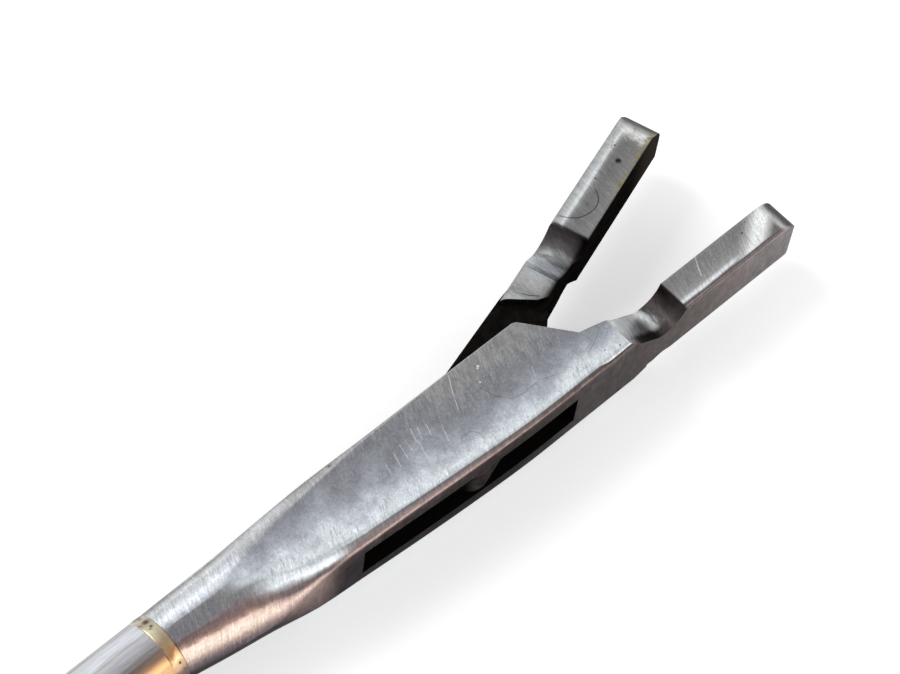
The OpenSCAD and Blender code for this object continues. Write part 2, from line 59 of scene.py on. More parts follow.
# %% Places on the tool
ring_low, ring_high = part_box("braze_ring")
joint = Vector((ring_high.x, 0, (ring_low.z + ring_high.z) / 2))
tube_r = (ring_high.z - ring_low.z) / 2 / MM
ring_w = (ring_high.x - ring_low.x) / MM
pin_low, pin_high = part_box("jaw_pivot_pin")
pivot = (pin_low + pin_high) / 2
pivot_x = (pivot.x - joint.x) / MM
pivot_y = (pivot.y - joint.y) / MM
head_low, head_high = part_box("jaw_head")
half_width = (head_high.z - head_low.z) / 2 / MM
jaw_open = 18.0
print("joint", joint, "tube radius", tube_r, "pivot", pivot_x, pivot_y, "half width", half_width)

# %% [markdown]
# The photo is a close-up from about 17 cm with a long lens, looking down on the tip as it lies on
# its side. A long lens keeps the tool's edges nearly parallel. The camera's three axes are given
# outright, because a look-at helper would lose the slight roll of the real one.

# %% Camera
right = Vector((0.7235, -0.6854, 0.0828)).normalized()
back = Vector((-0.4070, -0.3266, 0.8531)).normalized()
up = back.cross(right).normalized()
right = up.cross(back)
eye = joint + Vector((-52.2, -56.85, 158.5)) * MM
lens_mm = 140

camera_data = bpy.data.cameras.new("camera")
camera_data.lens = lens_mm
camera_data.sensor_width = 36
camera_data.clip_start = 0.005
camera = bpy.data.objects.new("camera", camera_data)
turn = Matrix((right, up, back)).transposed().to_4x4()
camera.matrix_world = Matrix.Translation(eye) @ turn
bpy.context.scene.collection.objects.link(camera)
bpy.context.scene.camera = camera
print("camera at", eye)

# %% [markdown]
# A pale floor and a white surround are made without flooding the metal with light. Camera rays,
# mirror rays and see-through rays find a white world, and everything else finds a softer grey one.
# The floor does the same, but keeps a share of real shading, so the tool's shadow stays on it.

# %% World and floor
scene = bpy.context.scene
scene.view_settings.view_transform = "Standard"


def white_to_the_eye(tree):
    """One for camera, mirror and see-through rays, and nought for the rays that carry light."""
    path = tree.nodes.new("ShaderNodeLightPath")
    either = tree.nodes.new("ShaderNodeMath")
    either.operation = "MAXIMUM"
    tree.links.new(path.outputs["Is Camera Ray"], either.inputs[0])
    tree.links.new(path.outputs["Is Glossy Ray"], either.inputs[1])
    third = tree.nodes.new("ShaderNodeMath")
    third.operation = "MAXIMUM"
    tree.links.new(either.outputs[0], third.inputs[0])
    tree.links.new(path.outputs["Is Transmission Ray"], third.inputs[1])
    return third.outputs[0]


world = bpy.data.worlds.new("studio")
world.use_nodes = True
scene.world = world
tree = world.node_tree
air = tree.nodes["Background"]
air.inputs["Color"].default_value = (1, 1, 1, 1)
strength = tree.nodes.new("ShaderNodeMapRange")
strength.inputs["To Min"].default_value = 0.55
strength.inputs["To Max"].default_value = 1.0
tree.links.new(white_to_the_eye(tree), strength.inputs["Value"])
tree.links.new(strength.outputs["Result"], air.inputs["Strength"])

floor_mesh = bpy.data.meshes.new("floor")
bm = bmesh.new()
bmesh.ops.create_grid(bm, x_segments=1, y_segments=1, size=1.5)
bm.to_mesh(floor_mesh)
bm.free()
floor = bpy.data.objects.new("floor", floor_mesh)
scene.collection.objects.link(floor)
paper = bpy.data.materials.new("floor_paper")
paper.use_nodes = True
tree = paper.node_tree
matte = tree.nodes["Principled BSDF"]
matte.inputs["Base Color"].default_value = (0.8, 0.8, 0.8, 1)
matte.inputs["Roughness"].default_value = 0.9
glow = tree.nodes.new("ShaderNodeEmission")
glow.inputs["Color"].default_value = (1, 1, 1, 1)
lift = tree.nodes.new("ShaderNodeMath")
lift.operation = "MULTIPLY"
lift.inputs[1].default_value = 0.42
tree.links.new(white_to_the_eye(tree), lift.inputs[0])
tree.links.new(lift.outputs[0], glow.inputs["Strength"])
both = tree.nodes.new("ShaderNodeAddShader")
tree.links.new(matte.outputs[0], both.inputs[0])
tree.links.new(glow.outputs[0], both.inputs[1])
tree.links.new(both.outputs[0], tree.nodes["Material Output"].inputs["Surface"])
floor_mesh.materials.append(paper)

# %% [markdown]
# Two large soft boxes light the tool, as for a catalogue picture: a key over the back of the tip and
# a weaker fill from the handle's side. Large lamps far away give soft shadows at any view.

# %% Lamps


def soft_box(name, at, target, size, watts):
    """An area lamp at a place, aimed at a place on the tool."""
    data = bpy.data.lights.new(name, "AREA")
    data.shape = "SQUARE"
    data.size = size
    data.energy = watts
    lamp = bpy.data.objects.new(name, data)
    lamp.location = at
    lamp.rotation_euler = (Vector(target) - Vector(at)).to_track_quat("-Z", "Y").to_euler()
    scene.collection.objects.link(lamp)
    return lamp


soft_box("key", (-0.2, 0.75, 0.95), (0.12, 0, 0), 0.6, 6.5)
soft_box("fill", (0.55, -0.8, 0.7), (0.12, 0, 0), 0.9, 3.0)

# %% [markdown]
# Every finish below is a material made of nodes. A small class keeps the wiring readable: it holds
# one Principled shader and gives each common node a short name. All its patterns are worked out from
# the place on the tool or from the way the surface faces, so they stay put as the camera moves.

# %% A finish and its nodes


class Finish:
    """A metal finish: a Principled shader, and short names for the nodes that feed it."""

    def __init__(self, name, colour, roughness=0.35, metallic=1.0, rim=1.0):
        self.material = bpy.data.materials.new(name)
        self.material.use_nodes = True
        self.tree = self.material.node_tree
        self.shader = self.tree.nodes["Principled BSDF"]
        self.shader.inputs["Base Color"].default_value = (*colour, 1)
        self.shader.inputs["Roughness"].default_value = roughness
        self.shader.inputs["Metallic"].default_value = metallic
        self.shader.inputs["Specular Tint"].default_value = (rim, rim, rim, 1)
        self.shader.inputs["Specular IOR Level"].default_value = 0.0

    def node(self, kind, inputs=(), **settings):
        made = self.tree.nodes.new(kind)
        for key, value in settings.items():
            setattr(made, key, value)
        for slot, value in enumerate(inputs):
            self.feed(made.inputs[slot], value)
        return made

    def feed(self, socket, value):
        if value is None:
            return
        if hasattr(value, "is_output"):
            self.tree.links.new(value, socket)
        elif socket.type == "RGBA" and len(value) == 3:
            socket.default_value = (*value, 1)
        else:
            socket.default_value = value

    def math(self, operation, a, b=None, clamp=False):
        return self.node("ShaderNodeMath", (a, b), operation=operation, use_clamp=clamp).outputs[0]

    def vector(self, operation, a, b=None):
        made = self.node("ShaderNodeVectorMath", (a, b), operation=operation)
        return made.outputs["Value" if operation in ("DOT_PRODUCT", "LENGTH", "DISTANCE") else "Vector"]

    def split(self, vector):
        return self.node("ShaderNodeSeparateXYZ", (vector,)).outputs

    def join(self, x, y, z):
        return self.node("ShaderNodeCombineXYZ", (x, y, z)).outputs[0]

    def span(self, value, start, end):
        """Eases from 0 to 1 as the value goes from start to end."""
        made = self.node("ShaderNodeMapRange", interpolation_type="SMOOTHSTEP")
        flip = start > end
        self.feed(made.inputs["Value"], value)
        made.inputs["From Min"].default_value = min(start, end)
        made.inputs["From Max"].default_value = max(start, end)
        made.inputs["To Min"].default_value = 1.0 if flip else 0.0
        made.inputs["To Max"].default_value = 0.0 if flip else 1.0
        return made.outputs["Result"]

    def band(self, value, start, end, soft):
        """One between start and end, easing to nought over a soft distance outside them."""
        rise = self.span(value, start - soft, start)
        fall = self.span(value, end + soft, end)
        return self.math("MULTIPLY", rise, fall)

    def both(self, *masks):
        result = masks[0]
        for mask in masks[1:]:
            result = self.math("MULTIPLY", result, mask)
        return result

    def noise(self, place, scale, detail=3.0, rough=0.55, twist=0.0):
        made = self.node("ShaderNodeTexNoise")
        self.feed(made.inputs["Vector"], place)
        for key, value in (("Scale", scale), ("Detail", detail), ("Roughness", rough), ("Distortion", twist)):
            made.inputs[key].default_value = value
        return made.outputs["Fac"]

    def ramp(self, value, stations):
        """A colour that goes through the stations (value, colour), in the value's own units."""
        low, high = stations[0][0], stations[-1][0]
        spread = self.node("ShaderNodeMapRange")
        self.feed(spread.inputs["Value"], value)
        spread.inputs["From Min"].default_value = low
        spread.inputs["From Max"].default_value = high
        ramp = self.node("ShaderNodeValToRGB", (spread.outputs["Result"],))
        points = ramp.color_ramp.elements
        while len(points) < len(stations):
            points.new(0.5)
        for point, (place, colour) in zip(points, stations):
            point.position = (place - low) / (high - low)
            grey = isinstance(colour, (int, float))
            point.color = (colour, colour, colour, 1) if grey else (*colour, 1)
        return ramp.outputs["Color"]

    def blend(self, share, under, over, way="MIX"):
        made = self.node("ShaderNodeMix", data_type="RGBA", blend_type=way)
        self.feed(made.inputs["Factor"], share)
        self.feed(made.inputs["A"], under)
        self.feed(made.inputs["B"], over)
        return made.outputs["Result"]

    def place(self, origin=(0, 0, 0)):
        """The place on the tool in millimetres from an origin given in metres."""
        coords = self.node("ShaderNodeTexCoord").outputs["Object"]
        moved = self.vector("SUBTRACT", coords, tuple(origin))
        made = self.node("ShaderNodeVectorMath", (moved,), operation="SCALE")
        made.inputs["Scale"].default_value = 1 / MM
        return made.outputs["Vector"]

    def facing(self):
        """The way that the surface faces, in the tool's own axes."""
        return self.node("ShaderNodeTexCoord").outputs["Normal"]

    def worn_facing(self, radius):
        """The same with the edges rounded off by a radius in millimetres, as wear does."""
        bevel = self.node("ShaderNodeBevel")
        bevel.samples = 6
        bevel.inputs["Radius"].default_value = radius * MM
        turned = self.node("ShaderNodeVectorTransform", (bevel.outputs[0],), vector_type="NORMAL",
                           convert_from="WORLD", convert_to="OBJECT")
        return turned.outputs[0]

    def painted_crevice_shade(self, colour, reach):
        """Painted shade: darkens slots, threads and inner corners, where little light reaches, up to a reach in
        millimetres.
        """
        shelter = self.node("ShaderNodeAmbientOcclusion")
        shelter.samples = 6
        shelter.only_local = True
        shelter.inputs["Distance"].default_value = reach * MM
        painted_shade = self.ramp(shelter.outputs["AO"], [(0.35, (0.16, 0.15, 0.14)), (0.85, 1.0)])
        return self.blend(1.0, colour, painted_shade, "MULTIPLY")

    def speck(self, place, at, radius, soft=0.6):
        """A round mask about a place in millimetres."""
        away = self.vector("DISTANCE", place, at)
        return self.span(away, radius * (1 + soft), radius * (1 - soft))

    def stroke(self, x, y, start, end, width):
        """A thin straight mark between two places in the plane of the flats."""
        run = (end[0] - start[0], end[1] - start[1])
        length = math.hypot(*run)
        across = (-run[1] / length, run[0] / length)
        along = (run[0] / length, run[1] / length)
        dx = self.math("SUBTRACT", x, start[0])
        dy = self.math("SUBTRACT", y, start[1])
        side = self.math("ADD", self.math("MULTIPLY", dx, across[0]), self.math("MULTIPLY", dy, across[1]))
        side = self.math("ABSOLUTE", side)
        run_at = self.math("ADD", self.math("MULTIPLY", dx, along[0]), self.math("MULTIPLY", dy, along[1]))
        return self.both(self.span(side, width, width * 0.3), self.band(run_at, 0, length, width * 3))

    def strokes(self, x, y, paths, width):
        """Thin marks along paths, each a list of places in the plane of the flats."""
        result = 0.0
        for path in paths:
            for start, end in zip(path, path[1:]):
                result = self.math("MAXIMUM", result, self.stroke(x, y, start, end, width))
        return result

    def specks(self, place, spots):
        """Round marks, each a (x, y, z, radius) in millimetres."""
        result = 0.0
        for spot in spots:
            result = self.math("MAXIMUM", result, self.speck(place, spot[:3], spot[3]))
        return result

    def matt_black(self, mask):
        """Turns the masked zone from mirror-like metal into a matt surface, which keeps its painted colour, such as
        painted shade, instead of mirroring the white world.
        """
        self.feed(self.shader.inputs["Metallic"], self.math("SUBTRACT", 1.0, mask))

    def bumps(self, *layers):
        """Stacks bump layers, each a (height, distance in millimetres) pair."""
        normal = None
        for height, depth in layers:
            made = self.node("ShaderNodeBump")
            self.feed(made.inputs["Height"], height)
            made.inputs["Distance"].default_value = depth * MM
            self.feed(made.inputs["Normal"], normal)
            normal = made.outputs["Normal"]
        self.tree.links.new(normal, self.shader.inputs["Normal"])

    def colour(self, value):
        self.feed(self.shader.inputs["Base Color"], value)

    def roughness(self, value):
        self.feed(self.shader.inputs["Roughness"], value)


# %% [markdown]
# Ground steel is bright where the wheel left it and dull where it has been handled. The scratches
# run across the tool. A noise that is squeezed along X and stretched along Y gives such scratches,
# and a second one at a slant breaks them up.

# %% Scratches from the grinding wheel
def lines_across(finish, place, lean, along, across, detail, rough):
    """A noise drawn out across the tool, leaning over by a share of the height."""
    x, y, z = finish.split(place)
    slant = finish.math("MULTIPLY", finish.math("ADD", x, finish.math("MULTIPLY", y, lean)), along)
    return finish.noise(finish.join(slant, finish.math("MULTIPLY", y, across), finish.math("MULTIPLY", z, across)),
                        1.0, detail, rough)


def cross_scratches(finish, place, along=13.0, across=1.3):
    """Fine scratches across the tool, about nought to one."""
    fine = lines_across(finish, place, -0.45, along, across, 4.0, 0.7)
    wide = lines_across(finish, place, -0.15, along * 0.4, across * 0.6, 3.0, 0.6)
    steep = lines_across(finish, place, -0.66, along * 1.4, across * 0.45, 2.0, 0.6)
    total = finish.math("ADD", finish.math("MULTIPLY", fine, 0.45), finish.math("MULTIPLY", wide, 0.25))
    return finish.math("ADD", total, finish.math("MULTIPLY", steep, 0.30))


# %% [markdown]
# The round parts of the tip get long streaks of painted reflection: a bright one on the side that faces up, and a
# coppery one low down. The angle round the tube's axis tells the streaks apart, with nought facing up.

# %% Painted reflections round the tube and the neck of the head
TUBE_PAINTED_REFLECTIONS = [(-180, 0.30), (-130, 0.12), (-100, (0.06, 0.052, 0.054)), (-88, (0.10, 0.085, 0.088)),
                (-77, (0.19, 0.155, 0.16)), (-69, (0.42, 0.31, 0.28)), (-62, (0.76, 0.60, 0.51)),
                (-54, (0.90, 0.75, 0.64)), (-47, (0.76, 0.57, 0.49)), (-42, (0.26, 0.17, 0.14)),
                (-37, (0.13, 0.09, 0.08)), (-30, (0.11, 0.08, 0.08)), (-24, (0.14, 0.115, 0.12)), (-16, 0.19),
                (-8, 0.205), (0, 0.25), (5, (0.36, 0.37, 0.41)), (10, (0.62, 0.65, 0.70)), (15, (0.76, 0.80, 0.84)),
                (22, (0.62, 0.65, 0.70)), (30, 0.55), (37, (0.64, 0.68, 0.72)), (44, 0.54), (50, 0.43), (57, 0.42),
                (64, 0.50), (75, 0.54), (90, 0.45), (110, 0.52), (150, 0.40), (180, 0.30)]


def angle_round_axis(finish, facing):
    """The angle round X in degrees, nought facing up and negative towards the belly."""
    x, y, z = finish.split(facing)
    turn = finish.math("ARCTAN2", y, z)
    return finish.math("MULTIPLY", turn, 180 / math.pi)


# %% [markdown]
# The jaw head is the piece that fills the picture. Its light and shade are mostly painted into the colour. The flats
# carry a painted highlight along the belly's edge and turn greyer towards the cheeks' top. The belly is painted dark
# and a little brown as shade, and the slot is painted black inside as shade. The hollow behind the pad has a painted
# dark wall and a painted bright reflection on its floor. Each zone is a mask, made from the place and the facing, and
# the zones are laid over one another.

# %% Finish of the jaw head
# Painted light and shade of the head, as colour ramps: the flats' highlight and shade, the pads' shading, the bright
# patch near the pad's end, the belly's shade and the neck's reflections
FLAT_PAINTED_SHADING = [(-0.05, (0.50, 0.53, 0.55)), (0.10, (0.63, 0.67, 0.70)), (0.45, (0.63, 0.68, 0.72)),
               (0.8, (0.52, 0.55, 0.59)), (1.3, (0.41, 0.435, 0.48)), (1.9, (0.315, 0.33, 0.375)),
               (2.6, (0.255, 0.265, 0.295)), (3.4, (0.21, 0.215, 0.235)), (4.4, (0.215, 0.22, 0.235)), (6.0, 0.25)]
FLAT_EDGE = [(6, -1.75), (8, -2.01), (11, -2.47), (14.5, -2.86), (18, -3.12), (22, -3.33), (31, -3.39)]
PAD_PAINTED_SHADING = [(-3.75, (0.12, 0.095, 0.10)), (-3.53, (0.12, 0.10, 0.105)), (-3.47, 0.24), (-3.40, (0.70, 0.73, 0.75)),
              (-3.27, (0.62, 0.65, 0.67)), (-3.16, 0.36), (-3.08, 0.30), (-2.8, 0.245), (-2.4, 0.215), (-1.95, 0.195), (-1.75, 0.24)]
PAD_END_PAINTED_HIGHLIGHT = [(42.0, 0.24), (42.7, 0.31), (43.2, 0.46), (43.6, (0.72, 0.74, 0.74)), (44.0, (0.82, 0.85, 0.85)),
              (44.6, (0.80, 0.82, 0.80)), (44.9, 0.56), (45.2, 0.38), (45.6, 0.15), (46.2, 0.10)]
BELLY_PAINTED_SHADE = [(7, (0.10, 0.085, 0.086)), (9.5, (0.062, 0.054, 0.056)), (20, (0.040, 0.034, 0.035)), (23.5, (0.06, 0.052, 0.052)),
                (26, (0.118, 0.103, 0.103)), (30, (0.135, 0.118, 0.116)), (34, (0.195, 0.168, 0.165)),
                (38, (0.30, 0.262, 0.258)), (41.5, (0.33, 0.31, 0.31))]
NECK_PAINTED_REFLECTIONS = [(-180, 0.2), (-103, (0.065, 0.055, 0.056)), (-93, (0.15, 0.125, 0.125)), (-84, (0.42, 0.31, 0.285)),
                (-76, (0.62, 0.46, 0.42)), (-67, (0.84, 0.65, 0.56)), (-61, (0.54, 0.38, 0.34)), (-54, (0.16, 0.125, 0.125)),
                (-46, (0.145, 0.115, 0.115)), (-38, 0.28), (-30, (0.60, 0.63, 0.66)), (-18, (0.60, 0.64, 0.68)),
                (-8, 0.44), (2, (0.36, 0.37, 0.40)), (11, (0.29, 0.295, 0.32)), (20, 0.42), (33, (0.55, 0.58, 0.62)),
                (45, 0.56), (62, 0.60), (90, 0.45), (180, 0.25)]

# Marks of use on the head's flat, in millimetres from the joint
BRIGHT_LINES = [[(20.66, 1.34), (20.15, 0.45), (19.61, -0.52)], [(16.31, -0.03), (16.18, -0.69)],
                [(16.78, -0.51), (16.5, -1.5)], [(15.88, -0.12), (15.71, -0.9)], [(24.3, -1.2), (24.05, -1.75)],
                [(17.3, 0.1), (17.0, -0.6)], [(16.95, 0.25), (16.7, -0.45)], [(17.75, -0.1), (17.45, -0.95)],
                [(15.35, -0.2), (15.1, -1.0)], [(18.3, -0.7), (18.0, -1.5)], [(14.6, -0.4), (14.4, -1.05)]]
DARK_LINES = [[(21.42, -0.35), (21.68, -1.21), (22.23, -1.92), (23.0, -2.02), (24.1, -2.01), (25.35, -2.46)],
              [(27.24, -2.48), (27.9, -2.25), (28.56, -1.83)]]
BRIGHT_SPECKS = [(22.22, 0.71, 2.3, 0.055), (22.1, 0.64, 2.3, 0.035), (21.63, -0.06, 2.3, 0.04)]
DARK_SPECKS = [(12.37, 1.5, 2.25, 0.13), (28.79, -3.24, 2.3, 0.05), (27.97, -2.94, 2.3, 0.04),
               (28.86, -3.75, -1.82, 0.14), (39.12, -2.36, 1.7, 0.06), (39.76, -1.97, 1.7, 0.045)]
PINK_SPECKS = [(13.75, -0.14, 2.3, 0.09), (13.68, 0.02, 2.3, 0.06), (12.82, -0.18, 2.3, 0.05)]


def flat_edge_height(finish, x):
    """Where the flat meets the rounded belly corner, at a place along the head."""
    low = min(y for _, y in FLAT_EDGE)
    shares = finish.ramp(x, [(place, (y - low) / 2) for place, y in FLAT_EDGE])
    share = finish.split(shares)[0]
    return finish.math("ADD", finish.math("MULTIPLY", share, 2), low)


def head_finish():
    steel = Finish("ground_head_steel", (0.4, 0.4, 0.42), 0.34, rim=0.42)
    place = steel.place(joint)
    facing = steel.facing()
    x, y, z = steel.split(place)
    nx, ny, nz = steel.split(facing)
    side = steel.math("ABSOLUTE", nz)
    height = steel.math("ABSOLUTE", z)
    scratch = cross_scratches(steel, place)
    mottle = steel.noise(place, 0.55, 4.0, 0.6)
    cloud = steel.noise(place, 1.6, 5.0, 0.65, 0.4)

    # Round neck and its painted reflections: the coppery streaks sink towards the belly along the neck
    wobble = steel.math("MULTIPLY", steel.math("SUBTRACT", cloud, 0.5), 11)
    angle = steel.math("ADD", angle_round_axis(steel, facing), wobble)
    sink = steel.math("MULTIPLY", steel.math("SUBTRACT", x, 3.2), 1.7)
    low_angle = steel.math("ADD", angle, steel.math("MULTIPLY", steel.span(angle, 0, -35), sink))
    round_part = steel.ramp(low_angle, TUBE_PAINTED_REFLECTIONS)
    # Painted shade: a darker band between the top and the coppery streak near the joint. Painted highlight: a bright
    # streak on the other side of the top
    painted_dark_band = steel.both(steel.band(angle, -22, -5, 5), steel.band(x, -0.5, 2.8, 0.8))
    round_part = steel.blend(steel.math("MULTIPLY", painted_dark_band, 0.75), round_part, (0.17, 0.165, 0.18))
    sink = steel.math("MULTIPLY", steel.math("SUBTRACT", x, 6.5), 5.0)
    low_angle = steel.math("ADD", angle, steel.math("MULTIPLY", steel.span(angle, -15, -45), sink))
    round_part = steel.blend(steel.span(x, 4.3, 6.2), round_part, steel.ramp(low_angle, NECK_PAINTED_REFLECTIONS))
    neck_painted_highlight = steel.both(steel.band(angle, 61, 68, 7), steel.band(x, 3.0, 4.6, 1.5))
    round_part = steel.blend(neck_painted_highlight, round_part, (0.88, 0.89, 0.89))
    # Painted reflection on the rounded belly corner: a coppery band with dark shade on either side, fading along the
    # head
    near = steel.span(x, 15, 11)
    turned = steel.math("ADD", angle, steel.math("MULTIPLY", near, 9))
    corner = steel.ramp(turned, [(-180, 0.1), (-92, (0.05, 0.043, 0.045)), (-84, (0.09, 0.072, 0.07)),
                                (-74, (0.20, 0.15, 0.14)), (-64, (0.56, 0.42, 0.37)), (-54, (0.52, 0.38, 0.34)),
                                (-44, (0.22, 0.16, 0.15)), (-30, (0.13, 0.105, 0.11)), (-15, 0.13), (-8, 0.20),
                                (-2, 0.60), (4, 0.30), (30, 0.42), (60, 0.36), (90, 0.22), (180, 0.18)])
    fading = steel.ramp(steel.math("ADD", x, wobble), [(12, 1.0), (18, 0.80), (22, 0.62), (28, 0.30), (34, 0.34), (42, 0.42)])
    corner = steel.blend(steel.span(angle, -10, -30), corner, steel.blend(1.0, corner, fading, "MULTIPLY"))
    colour = steel.blend(steel.span(x, 8.4, 10.4), round_part, corner)

    # Ground flats: a painted highlight along the belly's edge, turning to greyer painted shade towards the cheeks' top
    drop = steel.math("SUBTRACT", y, flat_edge_height(steel, x))
    reach = steel.math("ADD", 1.0, steel.math("MULTIPLY", steel.span(x, 16, 21), 0.5))
    drop = steel.math("MULTIPLY", drop, reach)
    uneven = steel.math("MULTIPLY", steel.math("SUBTRACT", mottle, 0.5), 3.8)
    streaked = steel.math("MULTIPLY", steel.math("SUBTRACT", scratch, 0.5), 6.5)
    wander = steel.math("MULTIPLY", steel.math("ADD", uneven, streaked), steel.span(drop, 0.05, 0.8))
    flat = steel.ramp(steel.math("ADD", drop, wander), FLAT_PAINTED_SHADING)
    level = steel.math("ADD", side, steel.math("MULTIPLY", steel.span(x, 27.0, 27.8), 0.12))
    is_flat = steel.both(steel.span(level, 0.965, 0.992), steel.span(x, 3.2, 5.2))
    patches = steel.ramp(cloud, [(0.36, 0.87), (0.5, 1.0), (0.64, 1.10)])
    flat = steel.blend(1.0, flat, patches, "MULTIPLY")
    colour = steel.blend(is_flat, colour, flat)

    # Belly, with its duller foot: painted shade, dark and a little brown
    belly = steel.ramp(x, BELLY_PAINTED_SHADE)
    tilt = steel.both(steel.span(z, 0.6, 1.75), steel.span(x, 30, 24))
    belly = steel.blend(steel.math("MULTIPLY", tilt, 0.3), belly, (0.14, 0.11, 0.105))
    stain = steel.ramp(cloud, [(0.35, 0.82), (0.65, 1.2)])
    belly = steel.blend(1.0, belly, stain, "MULTIPLY")
    under = steel.math("ADD", ny, steel.math("MULTIPLY", near, 0.055))
    is_belly = steel.both(steel.span(under, -0.84, -0.94), steel.span(x, 6.4, 9.8))
    colour = steel.blend(is_belly, colour, belly)

    # Pads of the fixed jaw: painted shading with a painted highlight along the lower edge, and a painted bright patch
    # near the end
    pad_y = steel.math("ADD", y, steel.math("MULTIPLY", uneven, 0.03))
    pad = steel.ramp(pad_y, PAD_PAINTED_SHADING)
    across = steel.math("ADD", x, steel.math("MULTIPLY", y, -1.5))
    across = steel.math("ADD", across, steel.math("MULTIPLY", streaked, 0.16))
    pad_end_highlight = steel.ramp(across, PAD_END_PAINTED_HIGHLIGHT)
    pad = steel.blend(steel.both(steel.span(across, 42.2, 43.2), steel.span(y, -3.56, -3.42)), pad, pad_end_highlight)
    is_pad = steel.both(steel.span(x, 33.0, 33.4), steel.span(side, 0.75, 0.95))
    colour = steel.blend(is_pad, colour, pad)

    # End of the fixed jaw, worn round: a painted dark band of shade where it turns away, painted lighter on the end
    # itself, and a painted highlight on the corner
    worn_x, worn_y, worn_z = steel.split(steel.worn_facing(0.42))
    tip = steel.ramp(worn_x, [(0.10, 0.62), (0.26, 0.50), (0.42, 0.13), (0.6, 0.10), (0.8, 0.20), (0.97, 0.33), (1.0, 0.24)])
    is_end = steel.both(steel.span(x, 40.0, 40.9), steel.span(worn_x, 0.08, 0.24), steel.span(worn_y, -0.95, -0.7))
    colour = steel.blend(is_end, colour, tip)
    corner_light = steel.both(steel.span(x, 40.6, 41.2), steel.span(worn_x, 0.3, 0.6), steel.span(worn_y, -0.2, -0.5))
    colour = steel.blend(steel.math("MULTIPLY", corner_light, 0.6), colour, (0.36, 0.33, 0.33))

    # Hollow behind the pad, in painted light and shade: light start, dark steep wall, a painted bright reflection low
    # on the floor, and painted shade along the lower edge
    in_hollow = steel.both(steel.band(x, 30.2, 33.45, 1.0), steel.span(x, 33.6, 33.42), steel.span(height, 2.28, 2.2),
                           steel.span(side, 0.02, 0.1))
    shine = steel.noise(steel.join(steel.math("MULTIPLY", x, 2.2), steel.math("MULTIPLY", y, 0.7), z), 1.0, 4.0, 0.65)
    floor_x = steel.math("ADD", x, steel.math("MULTIPLY", steel.math("SUBTRACT", shine, 0.5), 1.5))
    hollow = steel.ramp(floor_x, [(29.2, (0.50, 0.52, 0.55)), (30.2, (0.42, 0.44, 0.46)), (30.8, 0.36), (31.2, 0.40),
                                  (31.6, (0.72, 0.75, 0.76)), (31.9, (0.50, 0.52, 0.52)), (32.2, 0.13),
                                  (32.5, (0.055, 0.048, 0.046)), (33.2, (0.03, 0.025, 0.024))])
    lower = steel.span(steel.math("ADD", y, steel.math("MULTIPLY", shine, 0.5)), -2.75, -3.15)
    hollow = steel.blend(lower, hollow, (0.05, 0.043, 0.042))
    colour = steel.blend(in_hollow, colour, hollow)

    # Marks of use
    upper = steel.span(z, 1.4, 1.6)
    broken = steel.span(steel.noise(place, 2.3, 3.0, 0.7), 0.30, 0.54)
    bright = steel.math("MULTIPLY", steel.both(steel.strokes(x, y, BRIGHT_LINES, 0.034), broken), 0.40)
    bright = steel.math("MAXIMUM", bright, steel.specks(place, BRIGHT_SPECKS))
    scored = steel.stroke(x, y, (36.08, -1.77), (35.51, -2.78), 0.05)
    bright = steel.math("MAXIMUM", bright, steel.math("MULTIPLY", scored, 0.4))
    colour = steel.blend(steel.both(bright, upper), colour, (0.82, 0.83, 0.83))
    dark = steel.math("MULTIPLY", steel.both(steel.strokes(x, y, DARK_LINES, 0.034), broken), 0.42)
    dark = steel.both(dark, upper)
    dark = steel.math("MAXIMUM", dark, steel.math("MULTIPLY", steel.specks(place, DARK_SPECKS), 0.85))
    colour = steel.blend(dark, colour, (0.035, 0.03, 0.028))

    colour = steel.blend(steel.math("MULTIPLY", steel.specks(place, PINK_SPECKS), 0.45), colour, (0.34, 0.12, 0.18))

    # Scratches and freckles lighten and darken the metal a little everywhere
    grain = steel.ramp(scratch, [(0.36, 0.70), (0.45, 0.92), (0.5, 1.0), (0.55, 1.09), (0.64, 1.5)])
    colour = steel.blend(1.0, colour, grain, "MULTIPLY")
    freckle = steel.noise(place, 7.0, 4.0, 0.75)
    freckle = steel.ramp(freckle, [(0.28, 0.70), (0.42, 0.94), (0.5, 1.0), (0.58, 1.06), (0.74, 1.35)])
    colour = steel.blend(1.0, colour, freckle, "MULTIPLY")

    # Inside of the slot: painted shade, matt and black. The gripping face is given a darker grey
    below = steel.math("SUBTRACT", 1.0, steel.span(ny, -0.9, -0.98))
    inside = steel.both(steel.span(height, 1.18, 1.12), steel.span(x, 10.2, 10.7), steel.span(x, 30.6, 30.1), below)
    colour = steel.blend(inside, colour, (0.004, 0.0035, 0.003))
    grip = steel.both(steel.span(ny, 0.85, 0.95), steel.span(x, 28, 30))
    colour = steel.blend(grip, colour, (0.16, 0.15, 0.145))
    steel.matt_black(inside)

    steel.colour(colour)
    steel.roughness(steel.math("ADD", 0.22, steel.math("MULTIPLY", scratch, 0.26)))
    steel.bumps((scratch, 0.010), (mottle, 0.02))
    return steel.material


# %% [markdown]
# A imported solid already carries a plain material. Its slots are filled with the new finish, and a
# small geometry-node modifier softens the facets: it welds the doubled corners and shades smooth,
# but keeps an edge sharp where two faces meet at more than a set angle. The mesh itself stays as
# it was packed.

